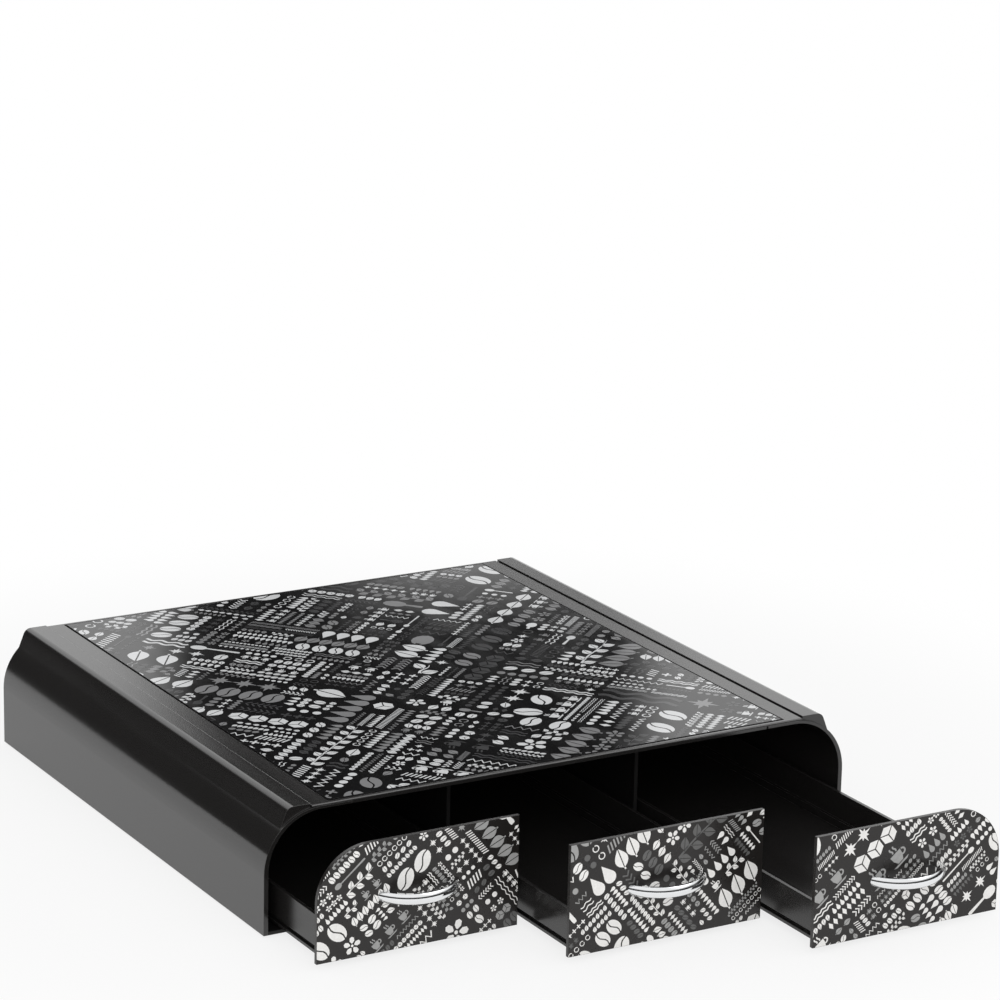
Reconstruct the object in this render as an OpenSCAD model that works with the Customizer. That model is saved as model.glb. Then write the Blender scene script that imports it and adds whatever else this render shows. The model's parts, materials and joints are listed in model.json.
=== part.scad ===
// Coffee pod drawer: an arched housing with three trays that slide out to the front.
// X runs to the right, Y to the back and Z up; the middle foot's underside is the origin.
// All sizes are in millimetres.

/* [Housing] */
// Width of the housing over its side walls
housing_w = 341; // [300:1:400]
// Depth of the housing from its front edge to its back panel
housing_d = 320; // [240:1:380]
// Height of the shoulders' crown above the side walls' bottom edge
crown_h = 62.3; // [56:0.1:90]
// Outer radius of the arched shoulders
shoulder_r = 31; // [22:0.5:38]
// Wall thickness of the side covers at the side
wall_t = 2.4; // [1.6:0.1:4]
// Thickness of the side covers at the crown, under the top deck
crown_t = 1.4; // [1:0.1:2.4]
// Thickness of the base plate
base_t = 1.8; // [1.6:0.1:4]
// Thickness of the back panel
back_t = 2.2; // [1.8:0.1:4]
// Gap around the back panel
back_gap = 0.2; // [0.1:0.05:0.6]

/* [Side rails] */
// Width of the flat rail on each shoulder, from the deck's seam to its outer corner
rail_w = 12.2; // [9:0.1:16]
// Height of the rails above the crown
rail_rise = 1.6; // [1:0.1:3]
// Rounding of the rails' outer corner
rail_round = 4.5; // [1.5:0.1:5]
// Distance of the rails' front end behind the shoulders' front edge
rail_setback = 1.5; // [0.5:0.1:4]
// Lean of the rails' outer side away from upright, in degrees
rail_lean = 22; // [15:1:35]

/* [Top deck] */
// Distance of the deck's seam from the outer side wall
seam_inset = 25.8; // [22:0.1:32]
// Height of the deck's border strips above the crown
deck_rise = 1; // [0.8:0.1:3]
// Width of the deck's border strips at the sides
border_w = 9.8; // [6:0.1:16]
// Width of the lip along the deck's front edge
front_lip = 2.6; // [1:0.1:4]
// Width of the lip along the deck's back edge
back_lip = 1.6; // [1:0.1:8]
// Rounding of the front lip's upper edge
lip_round = 0.9; // [0.3:0.1:1]
// Rounding of the border strips' outer edges
strip_round = 0.3; // [0.2:0.1:0.7]
// How far the side covers reach in under the deck
lap_w = 22.5; // [16:0.5:32]
// Gap between the deck and the rails, on average
deck_gap = 0.65; // [0.55:0.05:1.2]
// Sideways play of the deck taken up towards the right when positive
deck_shift = -0.35; // [-0.5:0.05:0.5]
// Thickness of the printed sheet
sheet_t = 0.7; // [0.4:0.05:1.2]
// Depth of the recess that the printed sheet lies in
recess_depth = 0.55; // [0.2:0.05:0.6]
// Gap around the printed sheet, on average
sheet_gap = 1.1; // [0.8:0.05:1.6]
// Sideways play of the printed sheet taken up towards the right when positive
sheet_shift = 0.1; // [-0.7:0.05:0.7]

/* [Bays] */
// Thickness of the dividers between the bays
divider_t = 2; // [1.6:0.1:3]
// Distance of the dividers' front edge behind the housing's front edge
divider_setback = 22; // [10:1:40]
// Length of the guide ribs that hold the trays down
guide_len = 56; // [40:1:90]
// Thickness of the guide ribs
guide_t = 1.6; // [1.2:0.1:2.4]
// Clearance above and below a guide rib in the tray's groove
guide_gap = 0.4; // [0.3:0.05:0.8]
// Clearance between a guide rib's tip and the groove
guide_tip_gap = 0.5; // [0.3:0.05:1]
// Width of the slide ribs on the base plate
slide_rib_w = 2; // [1.2:0.1:4]
// Clearance between the slide ribs and the trays
slide_gap = 0.3; // [0.2:0.05:0.6]
// Distance of the slide ribs from a tray's side
slide_rib_inset = 8; // [6:0.5:20]

/* [Front plates] */
// Thickness of the front plates
plate_t = 2.2; // [1.6:0.1:4]
// Gap between neighbouring front plates
plate_gap = 0.7; // [0.5:0.1:2]
// Gap between the front plates and the housing's sides and shoulders
rim_gap = 1.3; // [0.8:0.1:2.5]
// Gap under the front plates
sill_gap = 0.5; // [0.3:0.1:1.5]

/* [Trays] */
// Height of the trays' side walls over all
tray_h = 19.9; // [16:0.1:40]
// Height of the trays' underside above the front plates' bottom edge
tray_lift = 1.2; // [1.1:0.1:4]
// Distance of the trays' sides from the front plates' edges
tray_inset = 4.6; // [4:0.1:7]
// Wall thickness of the trays
tray_wall = 1.8; // [1.2:0.1:3]
// Floor thickness of the trays
tray_floor = 1.6; // [1.2:0.1:2.4]
// Thickness of the flange below the guide groove
flange_t = 1.5; // [1.2:0.1:3]
// Depth of the guide groove
groove_d = 2; // [1.2:0.1:3]
// Length of the stop that closes the guide groove at its rear end
stop_len = 6; // [3:0.5:15]
// Gap left at the stop when a drawer is fully out
stop_gap = 0.3; // [0.1:0.05:1]
// Gap behind the trays when the drawers are shut
rear_gap = 2.5; // [1.5:0.1:8]
// Width of the raised tab in the trays' front wall that the handle is screwed to
tab_w = 56; // [48:1:80]
// Height of that tab above the handle's middle
tab_rise = 7; // [5:0.5:12]

/* [Handles] */
// Outer span of the bow handles at the front plate
handle_span = 45.2; // [40:0.1:46]
// Reach of the bow handles in front of the front plate
handle_reach = 13.5; // [11:0.1:19]
// Height of the bow handles' band
handle_h = 5.4; // [4.5:0.1:7]
// Thickness of the bow handles' band
handle_t = 2.6; // [2:0.1:3.5]
// Radius of the band's bulging front
handle_bulge = 3.4; // [3.4:0.1:6]
// Distance between a handle's two screws
handle_screw_pitch = 34; // [30:0.5:36]
// Width of the handle's screw feet
handle_foot_w = 5.6; // [4.8:0.1:7]
// Step from the band's upper and lower edges to its screw feet
handle_foot_step = 0.3; // [0.1:0.05:0.6]
// Depth of the screw holes in the handle's feet
handle_hole_depth = 4.6; // [3.5:0.1:5]

/* [Fasteners and feet] */
// Shank radius of the self-tapping screws
screw_r = 1.25; // [1:0.05:1.5]
// Head radius of the self-tapping screws
head_r = 2.5; // [2:0.05:2.8]
// Height of the screw heads
head_h = 1.2; // [0.8:0.05:1.5]
// Radial clearance of the screws in the pieces that they clamp
screw_clear = 0.2; // [0.1:0.05:0.4]
// Reach of the screws into the housing's screw posts
screw_grip = 8; // [5:0.5:12]
// Depth left free below the screws' tips
screw_tip_gap = 1; // [0.5:0.1:3]
// Outer radius of the housing's screw posts
post_r = 2.8; // [2.2:0.1:3]
// Width of the webs that tie the screw posts to the walls
post_web = 3.9; // [2:0.1:5]
// Solid end of the screw posts beyond their holes
post_end = 1.5; // [0.8:0.1:3]
// Least distance between a screw's head and the wall beside it
head_margin = 1; // [0.5:0.1:3]
// Screws in the foot of each divider
divider_screws = 3; // [2:1:5]
// Radius of the rubber feet
foot_r = 6.5; // [4:0.5:10]
// How far the rubber feet stand proud of the base plate
foot_out = 1; // [0.6:0.1:4]
// How deep the rubber feet sit in the base plate
foot_seat = 0.8; // [0.4:0.1:1]
// Gap around the rubber feet in their seats
foot_gap = 0.2; // [0.1:0.05:0.5]
// Distance of the outer feet from the side walls' outer faces
foot_inset_x = 26; // [18:1:50]
// Distance of the outer feet from the front and back edges
foot_inset_y = 24; // [16:1:60]

/* [Pose] */
// How far the left drawer stands out at rest
pull_left = 48.5; // [0:0.5:160]
// How far the centre drawer stands out at rest
pull_centre = 96; // [0:0.5:160]
// How far the right drawer stands out at rest
pull_right = 140.5; // [0:0.5:160]

/* [Hidden] */
$fn = 96;
SHELL = "#232120";
INNER = "#1b1a1a";
PLATE = "#2b2928";
PRINT = "#3a3836";
CHROME = "#d9dcde";
STEEL = "#9a9da0";
RUBBER = "#2e2e2e";

// Levels
low_z = foot_out;
floor_z = low_z + base_t;
crown_z = low_z + crown_h;
roof_z = crown_z - crown_t;
rail_z = crown_z + rail_rise;
deck_z = crown_z + deck_rise;
sheet_low_z = deck_z - recess_depth;
sheet_z = sheet_low_z + sheet_t;

// Housing outline
half_w = housing_w / 2;
front_y = -housing_d / 2;
back_y = housing_d / 2;
back_in_y = back_y - back_t;
arc_x = half_w - shoulder_r;
arc_z = crown_z - shoulder_r;
wall_in_x = half_w - wall_t;
in_r = shoulder_r - (wall_t + crown_t) / 2;
in_x = wall_in_x - in_r;
in_z = roof_z - in_r;
seam_x = half_w - seam_inset;
ledge_x = seam_x - lap_w;

// Top deck, print recess and printed sheet
deck_half_w = seam_x - deck_gap;
recess_half_w = deck_half_w - border_w;
recess_front_y = front_y + front_lip;
recess_back_y = back_y - back_lip;

// Front plates
plate_low_z = floor_z + sill_gap;
plates_half_w = wall_in_x - rim_gap;
plate_w = (2 * plates_half_w - 2 * plate_gap) / 3;
bay_pitch = plate_w + plate_gap;
plate_top_z = roof_z - rim_gap;
handle_z = (plate_low_z + plate_top_z) / 2;
plate_back_y = front_y + plate_t;

// Trays
tray_z = plate_low_z + tray_lift;
tray_top_z = tray_z + tray_h;
tray_half_w = plate_w / 2 - tray_inset;
tray_back_y = back_in_y - rear_gap;
groove_low_z = tray_z + flange_t;
groove_h = guide_t + 2 * guide_gap;
groove_top_z = groove_low_z + groove_h;
groove_in_x = tray_half_w - groove_d;

// Bays and guides
divider_x = bay_pitch / 2;
divider_front_y = front_y + divider_setback;
guide_back_y = divider_front_y + guide_len;
guide_z = groove_low_z + guide_gap;
guide_tip_x = groove_in_x + guide_tip_gap;
slide_rib_h = tray_z - slide_gap - floor_z;

// Travel of a drawer from shut to its stop, and the most that each can still move
travel = tray_back_y - stop_len - stop_gap - guide_back_y;

// Screw posts
post_len = screw_grip + screw_tip_gap + post_end;
post_off = head_r + screw_clear + head_margin;
post_d = 2 * post_r;
post_y = [for (i = [0:divider_screws - 1])
    let (first = guide_back_y + post_d, last = back_in_y - post_len - post_d)
    first + (last - first) * i / (divider_screws - 1)];
post_low_z = tray_top_z + post_d;
back_screw_at = [
    [wall_in_x - post_off, post_low_z], [in_x, roof_z - post_off], [divider_x, post_low_z],
    [-wall_in_x + post_off, post_low_z], [-in_x, roof_z - post_off], [-divider_x, post_low_z]];

// Feet: one near each corner and one under the middle
foot_at = [
    [0, 0],
    for (sx = [-1, 1], sy = [-1, 1]) [sx * (half_w - foot_inset_x), sy * (back_y - foot_inset_y)]];

// ---- Helpers ----

// Extrudes a profile drawn in X and Z along Y, from y0 to y1.
module along_y(y0, y1) {
    translate([0, y1, 0]) rotate([90, 0, 0]) linear_extrude(height = y1 - y0) children();
}

// Extrudes a profile drawn in Y and Z along X, from x0 to x1.
module along_x(x0, x1) {
    translate([x0, 0, 0]) rotate([90, 0, 90]) linear_extrude(height = x1 - x0) children();
}

// A box given by its low and high corners.
module span(low, high) {
    translate(low) cube(high - low);
}

// What a rounding of radius r about [x, z] takes off an upper right corner, whose side may lean.
module corner_cut_2d(r, x, z, lean = 0) {
    translate([x, z]) difference() {
        polygon([[0, 0], [0, 2 * r], [2 * r, 2 * r], 2 * r * [cos(lean), sin(lean)]]);
        circle(r = r);
    }
}

// One side of the housing's outline: an upright wall that turns into a shoulder of radius r.
module arched_2d(r, x, z, from_x, low) {
    difference() {
        translate([from_x, low]) square([x + r - from_x, z + r - low]);
        corner_cut_2d(r, x, z);
    }
}

// The open cross-section inside the housing, kept clear of it by gap and cut off at low.
module bay_2d(gap, low) {
    r = in_r - gap;
    difference() {
        translate([-in_x - r, low]) square([2 * (in_x + r), in_z + r - low]);
        for (side = [0, 1]) mirror([side, 0]) corner_cut_2d(r, in_x, in_z);
    }
}

// A screw along Z, head at the bottom with its face on Z = 0 and sunk as a cone.
module sunk_screw(grip) {
    cylinder(h = head_h, r1 = head_r, r2 = screw_r);
    cylinder(h = grip, r = screw_r);
}

// The hole for a sunk screw in the piece that it clamps.
module sunk_hole(depth) {
    cylinder(h = head_h, r1 = head_r + screw_clear, r2 = screw_r + screw_clear);
    translate([0, 0, -0.01]) cylinder(h = depth + 0.02, r = screw_r + screw_clear);
}

// Points an upright piece along -Y, into the housing from its back.
module from_back(x, z) {
    translate([x, back_y, z]) rotate([90, 0, 0]) children();
}

// ---- Housing ----

// The rail on the right shoulder, in cross-section.
module rail_2d() {
    corner = [seam_x + rail_w, rail_z];
    foot = corner + shoulder_r / 2 * [sin(rail_lean), -cos(rail_lean)];
    round_x = corner[0] - rail_round * (1 - sin(rail_lean)) / cos(rail_lean);
    difference() {
        polygon([[seam_x, foot[1]], [seam_x, rail_z], corner, foot]);
        corner_cut_2d(rail_round, round_x, rail_z - rail_round, rail_lean);
    }
}

// The right side cover: wall, arched shoulder, rail, deck ledge, guide rib and screw posts.
module side_cover() {
    difference() {
        union() {
            difference() {
                union() {
                    along_y(front_y, back_y) arched_2d(shoulder_r, arc_x, arc_z, ledge_x, low_z);
                    along_y(front_y + rail_setback, back_y) rail_2d();
                }
                along_y(front_y - 1, back_y + 1) arched_2d(in_r, in_x, in_z, ledge_x - 1, low_z - 1);
            }
            span([bay_pitch + guide_tip_x, divider_front_y, guide_z],
                [wall_in_x + wall_t / 2, guide_back_y, guide_z + guide_t]);
            for (i = [0, 1]) side_post(back_screw_at[i], i);
        }
        for (i = [0, 1]) from_back(back_screw_at[i][0], back_screw_at[i][1])
            cylinder(h = back_t + screw_grip + screw_tip_gap, r = screw_r);
    }
}

// A screw post of the side cover with the web that ties it to the wall (0) or the crown (1).
module side_post(at, kind) {
    web = kind == 0 ? [post_off + wall_t / 2, post_web] : [post_web, post_off + crown_t / 2];
    along_y(back_in_y - post_len, back_in_y) {
        translate(at) circle(r = post_r);
        translate(at - [kind * web[0] / 2, (1 - kind) * web[1] / 2]) square(web);
    }
}

module left_side_cover() { color(SHELL) mirror([1, 0, 0]) side_cover(); }

module right_side_cover() { color(SHELL) side_cover(); }

// The deck's upper part, from strip to strip, with its rounded outer edges.
module deck_slab() {
    intersection() {
        along_y(front_y, back_y) difference() {
            translate([-deck_half_w, crown_z]) square([2 * deck_half_w, deck_rise]);
            for (side = [0, 1]) mirror([side, 0])
                corner_cut_2d(strip_round, deck_half_w - strip_round, deck_z - strip_round);
        }
        along_x(-half_w, half_w) difference() {
            translate([front_y, crown_z - 1]) square([housing_d, deck_rise + 2]);
            mirror([1, 0]) corner_cut_2d(lip_round, -front_y - lip_round, deck_z - lip_round);
        }
    }
}

// The deck between the rails: it laps over both ledges and holds the printed sheet in a recess.
module top_deck() {
    color(SHELL) translate([deck_shift, 0, 0]) difference() {
        union() {
            deck_slab();
            span([-ledge_x + deck_gap, front_y, roof_z], [ledge_x - deck_gap, back_y, crown_z + 0.01]);
        }
        span([-recess_half_w, recess_front_y, sheet_low_z], [recess_half_w, recess_back_y, deck_z + 1]);
    }
}

module print_sheet() {
    color(PRINT) translate([deck_shift + sheet_shift, 0, 0])
        span([-recess_half_w + sheet_gap, recess_front_y + sheet_gap, sheet_low_z],
            [recess_half_w - sheet_gap, recess_back_y - sheet_gap, sheet_z]);
}

module base_plate() {
    color(INNER) difference() {
        union() {
            span([-wall_in_x, front_y, low_z], [wall_in_x, back_y, floor_z]);
            for (bay = [-1:1], side = [-1, 1])
                translate([bay * bay_pitch + side * (tray_half_w - slide_rib_inset), 0, 0])
                    span([-slide_rib_w / 2, divider_front_y, floor_z - 0.01],
                        [slide_rib_w / 2, back_in_y, floor_z + slide_rib_h]);
        }
        for (at = foot_at) translate([at[0], at[1], low_z - 1])
            cylinder(h = foot_seat + 1, r = foot_r + foot_gap);
        for (side = [-1, 1], y = post_y) translate([side * divider_x, y, low_z]) sunk_hole(base_t);
    }
}

module back_panel() {
    color(SHELL) difference() {
        along_y(back_in_y, back_y) bay_2d(back_gap, floor_z);
        for (at = back_screw_at) from_back(at[0], at[1]) sunk_hole(back_t);
    }
}

// The right divider, with its guide ribs, the screw posts in its foot and the one at its back.
module divider() {
    rib_half_w = divider_x - guide_tip_x;
    translate([divider_x, 0, 0]) difference() {
        union() {
            span([-divider_t / 2, divider_front_y, floor_z], [divider_t / 2, back_in_y, roof_z]);
            span([-rib_half_w, divider_front_y, guide_z], [rib_half_w, guide_back_y, guide_z + guide_t]);
            for (y = post_y) translate([0, y, floor_z]) cylinder(h = post_len, r = post_r);
            translate([0, back_in_y, post_low_z]) rotate([90, 0, 0]) cylinder(h = post_len, r = post_r);
        }
        for (y = post_y) translate([0, y, low_z])
            cylinder(h = base_t + screw_grip + screw_tip_gap, r = screw_r);
        from_back(0, post_low_z) cylinder(h = back_t + screw_grip + screw_tip_gap, r = screw_r);
    }
}

module left_divider() { color(INNER) mirror([1, 0, 0]) divider(); }

module right_divider() { color(INNER) divider(); }

module base_screws() {
    color(STEEL) for (side = [-1, 1], y = post_y)
        translate([side * divider_x, y, low_z]) sunk_screw(base_t + screw_grip);
}

module back_screws() {
    color(STEEL) for (at = back_screw_at) from_back(at[0], at[1]) sunk_screw(back_t + screw_grip);
}

module rubber_feet() {
    color(RUBBER) for (at = foot_at) translate([at[0], at[1], 0])
        cylinder(h = foot_out + foot_seat, r = foot_r);
}

// ---- Drawers, drawn shut about the middle of a bay ----

// Places a shut drawer's piece in bay -1, 0 or 1, pulled out by pull.
module in_bay(bay, pull) {
    translate([bay * bay_pitch, -pull, 0]) children();
}

// The two screws or screw holes of a handle, pointing forward from the tray's front wall.
module at_handle_screws(y) {
    for (side = [-1, 1]) translate([side * handle_screw_pitch / 2, y, handle_z]) rotate([90, 0, 0]) children();
}

// A tray: low walls, a groove along each side that the guide ribs run in, and its rear stops.
module tray() {
    inner_x = tray_half_w - tray_wall;
    step_x = groove_in_x - tray_wall;
    step_z = groove_top_z + tray_wall;
    wall_back_y = plate_back_y + tray_wall;
    tab_top_z = handle_z + tab_rise;
    difference() {
        union() {
            span([-tray_half_w, plate_back_y, tray_z], [tray_half_w, tray_back_y, tray_top_z]);
            span([-tab_w / 2, plate_back_y, tray_z], [tab_w / 2, wall_back_y, tab_top_z]);
        }
        span([-step_x, wall_back_y, tray_z + tray_floor],
            [step_x, tray_back_y - tray_wall, step_z + 0.01]);
        span([-inner_x, wall_back_y, step_z], [inner_x, tray_back_y - tray_wall, tray_top_z + 1]);
        for (side = [0, 1]) mirror([side, 0, 0])
            span([groove_in_x, plate_back_y - 1, groove_low_z],
                [tray_half_w + 1, tray_back_y - stop_len, groove_top_z]);
        at_handle_screws(wall_back_y + 0.01) cylinder(h = tray_wall + 0.02, r = screw_r + screw_clear);
    }
}

// The front plate of bay -1, 0 or 1: the outer ones follow the housing's shoulder.
module front_plate(bay) {
    left_x = bay * bay_pitch - plate_w / 2 - (bay < 0 ? plate_gap : 0);
    right_x = bay * bay_pitch + plate_w / 2 + (bay > 0 ? plate_gap : 0);
    difference() {
        translate([-bay * bay_pitch, 0, 0]) along_y(front_y, plate_back_y) intersection() {
            bay_2d(rim_gap, plate_low_z);
            translate([left_x, 0]) square([right_x - left_x, deck_z]);
        }
        at_handle_screws(plate_back_y + 0.01) cylinder(h = plate_t + 0.02, r = screw_r + screw_clear);
    }
}

// A bow handle: an arc of band with a bulging front, on two screw feet inside its ends.
module handle() {
    half = handle_span / 2;
    bow_r = (half * half + handle_reach * handle_reach) / (2 * handle_reach);
    difference() {
        intersection() {
            translate([0, front_y + bow_r - handle_reach, handle_z]) union() {
                rotate_extrude() intersection() {
                    translate([bow_r - handle_t, -handle_h / 2]) square([handle_t, handle_h]);
                    translate([bow_r - handle_bulge, 0]) circle(r = handle_bulge);
                }
                intersection() {
                    for (side = [-1, 1]) translate([side * handle_screw_pitch / 2, -bow_r / 2, 0])
                        cube([handle_foot_w, bow_r, handle_h - 2 * handle_foot_step], center = true);
                    cylinder(h = 2 * handle_h, r = bow_r - handle_t / 2, center = true);
                }
            }
            span([-handle_span, front_y - handle_reach - 1, 0], [handle_span, front_y, deck_z]);
        }
        at_handle_screws(front_y + 0.01) cylinder(h = handle_hole_depth, r = screw_r);
    }
}

// The two screws of a handle: their heads lie on the tray's front wall.
module handle_screws() {
    wall_back_y = plate_back_y + tray_wall;
    at_handle_screws(wall_back_y) {
        cylinder(h = tray_wall + plate_t + handle_hole_depth - screw_tip_gap / 2, r = screw_r);
        translate([0, 0, -head_h]) cylinder(h = head_h, r = head_r);
    }
}

module left_tray() { color(INNER) in_bay(-1, pull_left) tray(); }

module left_front_plate() { color(PLATE) in_bay(-1, pull_left) front_plate(-1); }

module left_handle() { color(CHROME) in_bay(-1, pull_left) handle(); }

module left_handle_screws() { color(STEEL) in_bay(-1, pull_left) handle_screws(); }

module centre_tray() { color(INNER) in_bay(0, pull_centre) tray(); }

module centre_front_plate() { color(PLATE) in_bay(0, pull_centre) front_plate(0); }

module centre_handle() { color(CHROME) in_bay(0, pull_centre) handle(); }

module centre_handle_screws() { color(STEEL) in_bay(0, pull_centre) handle_screws(); }

module right_tray() { color(INNER) in_bay(1, pull_right) tray(); }

module right_front_plate() { color(PLATE) in_bay(1, pull_right) front_plate(1); }

module right_handle() { color(CHROME) in_bay(1, pull_right) handle(); }

module right_handle_screws() { color(STEEL) in_bay(1, pull_right) handle_screws(); }

left_side_cover();
right_side_cover();
top_deck();
print_sheet();
base_plate();
back_panel();
left_divider();
right_divider();
base_screws();
back_screws();
rubber_feet();
left_tray();
left_front_plate();
left_handle();
left_handle_screws();
centre_tray();
centre_front_plate();
centre_handle();
centre_handle_screws();
right_tray();
right_front_plate();
right_handle();
right_handle_screws();
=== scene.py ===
"""The coffee pod drawer's finishes, printed films, screws and studio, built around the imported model.

Lengths in dataclass fields are in millimetres, and Blender's own are in metres. X runs to the
right, Y to the back and Z up.
"""

import json
import logging
import math
import random
from collections.abc import Callable, Iterator
from dataclasses import dataclass, field
from enum import Enum
from functools import partial

import bmesh
import bpy
from mathutils import Matrix, Vector

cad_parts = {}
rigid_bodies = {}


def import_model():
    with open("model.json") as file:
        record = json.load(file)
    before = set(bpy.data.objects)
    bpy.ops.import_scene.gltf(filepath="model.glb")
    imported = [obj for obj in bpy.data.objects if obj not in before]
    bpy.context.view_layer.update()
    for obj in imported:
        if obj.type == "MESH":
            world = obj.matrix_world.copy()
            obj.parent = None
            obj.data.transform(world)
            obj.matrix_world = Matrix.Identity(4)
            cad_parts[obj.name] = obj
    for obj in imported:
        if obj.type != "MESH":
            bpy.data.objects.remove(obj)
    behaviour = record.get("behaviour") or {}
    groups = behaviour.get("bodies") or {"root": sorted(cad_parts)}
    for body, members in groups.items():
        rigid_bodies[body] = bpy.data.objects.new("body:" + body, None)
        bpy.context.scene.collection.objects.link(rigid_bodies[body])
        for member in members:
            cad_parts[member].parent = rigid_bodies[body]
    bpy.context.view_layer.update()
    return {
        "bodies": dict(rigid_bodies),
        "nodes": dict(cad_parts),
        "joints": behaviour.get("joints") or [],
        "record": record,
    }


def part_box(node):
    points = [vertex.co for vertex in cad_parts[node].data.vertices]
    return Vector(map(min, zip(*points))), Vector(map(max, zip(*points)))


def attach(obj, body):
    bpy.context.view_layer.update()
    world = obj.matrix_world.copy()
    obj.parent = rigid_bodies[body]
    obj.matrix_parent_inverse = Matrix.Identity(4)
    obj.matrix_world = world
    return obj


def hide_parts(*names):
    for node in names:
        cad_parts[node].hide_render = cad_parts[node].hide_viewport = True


LOG = logging.getLogger("pod_drawer")
MM = 0.001
FIRST_SEED = 21  # The left front plate's. The other two count on from it.

Span = tuple[float, float]
Point = tuple[float, float]
Place = tuple[float, float, float]
Outline = list[Point]
Shapes = list[Outline]
Colour = tuple[float, float, float]
Rgba = tuple[float, float, float, float]
Node = bpy.types.Node
Socket = bpy.types.NodeSocket


class Side(Enum):
    """The three drawers, each with its body's name."""

    LEFT = "left_drawer"
    CENTRE = "centre_drawer"
    RIGHT = "right_drawer"

    @property
    def prefix(self) -> str:
        """The start of the names of the drawer's nodes."""
        return self.value.removesuffix("_drawer")


class Slot(Enum):
    """The names of the record's material slots. Nothing in this script uses them."""

    SHEET = "print_sheet"
    FRONT = "front_print"
    STEEL = "steel"


# ---- Finishes ----


class NodePen:
    """Writes one material's or world's node tree, a node at a time."""

    def __init__(self, tree: bpy.types.NodeTree) -> None:
        """Starts on an emptied tree.

        Args:
            tree: the node tree to write.
        """
        self.tree = tree
        tree.nodes.clear()

    def add(self, kind: str, inputs: dict | None = None, **settings: str | int) -> Node:
        """Adds a node.

        Args:
            kind: the node's type, without its ShaderNode prefix.
            inputs: values or output sockets for its input sockets, by name or number.
            settings: the node's own properties.

        Returns:
            The node.
        """
        node = self.tree.nodes.new("ShaderNode" + kind)
        for name, value in settings.items():
            setattr(node, name, value)
        self.feed(node, inputs or {})
        return node

    def feed(self, node: Node, inputs: dict) -> None:
        """Sets a node's input sockets.

        Args:
            node: the node.
            inputs: values or output sockets for its input sockets, by name or number.
        """
        for name, value in inputs.items():
            if isinstance(value, Socket):
                self.tree.links.new(value, node.inputs[name])
            else:
                node.inputs[name].default_value = value

    def math(self, operation: str, *terms: Socket | float) -> Socket:
        """Adds a Math node.

        Args:
            operation: the node's operation.
            terms: numbers or sockets.

        Returns:
            Its output socket.
        """
        return self.add("Math", dict(enumerate(terms)), operation=operation).outputs[0]

    def ramp(self, value: Socket, low: float, high: float, start: float, end: float) -> Socket:
        """Maps a value smoothly from one range to another.

        Args:
            value: the socket to map.
            low: the value that gives start.
            high: the value that gives end.
            start: the result at low.
            end: the result at high.

        Returns:
            The mapped socket, kept between start and end.
        """
        inputs = {0: value, 1: low, 2: high, 3: start, 4: end}
        return self.add("MapRange", inputs, interpolation_type="SMOOTHSTEP").outputs[0]

    def blend(self, share: Socket | float, first: Socket | Rgba, second: Socket | Rgba) -> Socket:
        """Mixes two colours.

        Args:
            share: the second colour's share, a number or a socket.
            first: the first colour, or its socket.
            second: the second colour, or its socket.

        Returns:
            The mixed colour's socket.
        """
        # A Mix node's sockets for colours come after those for numbers and vectors.
        return self.add("Mix", {0: share, 6: first, 7: second}, data_type="RGBA").outputs[2]

    def soft_edge(self, radius: float) -> Socket:
        """Rounds edges in the shading alone, by a radius in millimetres."""
        return self.add("Bevel", {"Radius": radius * MM}, samples=4).outputs[0]

    def relief(self, height: Socket, depth: float, normal: Socket | None = None) -> Socket:
        """Adds a fine relief to a surface's shading.

        Args:
            height: the relief's height, from 0 to 1.
            depth: what a height of 1 stands for, in millimetres.
            normal: the normal that the relief starts from, if it isn't the surface's own.

        Returns:
            The changed normal's socket.
        """
        inputs = {"Strength": 1.0, "Distance": depth * MM, "Height": height}
        if normal is not None:
            inputs["Normal"] = normal
        return self.add("Bump", inputs).outputs[0]

    def noise(self, scale: float, stretch: Place = (1, 1, 1), detail: float = 3,
              roughness: float = 0.55) -> Socket:
        """Adds noise in the object's own coordinates.

        Args:
            scale: waves per metre.
            stretch: factors on the three axes before the noise.
            detail: the number of finer layers.
            roughness: the strength of the finer layers.

        Returns:
            The noise's value, about a half on average.
        """
        place = self.add("TexCoord").outputs["Object"]
        mapped = self.add("Mapping", {"Vector": place, "Scale": stretch}).outputs[0]
        inputs = {"Vector": mapped, "Scale": scale, "Detail": detail, "Roughness": roughness}
        return self.add("TexNoise", inputs).outputs["Fac"]


def grey(level: float) -> Rgba:
    """An RGBA colour of one level."""
    return level, level, level, 1.0


def rgba(colour: Colour, factor: float = 1.0) -> Rgba:
    """A colour with its alpha, made lighter or darker by a factor."""
    return (*(part * factor for part in colour), 1.0)


@dataclass(frozen=True)
class Finish:
    """What all finishes share: a name and a node material that is made once."""

    name: str

    def material(self) -> bpy.types.Material:
        """Makes the material, or finds the one made before.

        Returns:
            The material.
        """
        known = bpy.data.materials.get(self.name)
        if known:
            return known
        made = bpy.data.materials.new(self.name)
        made.use_nodes = True
        pen = NodePen(made.node_tree)
        shader = pen.add("BsdfPrincipled")
        self.write(pen, shader)
        pen.add("OutputMaterial", {"Surface": shader.outputs[0]})
        return made

    def write(self, pen: NodePen, shader: Node) -> None:
        """Sets the shader's sockets and the nodes behind them.

        Args:
            pen: the material's pen.
            shader: the material's shader.
        """
        raise NotImplementedError


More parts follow.
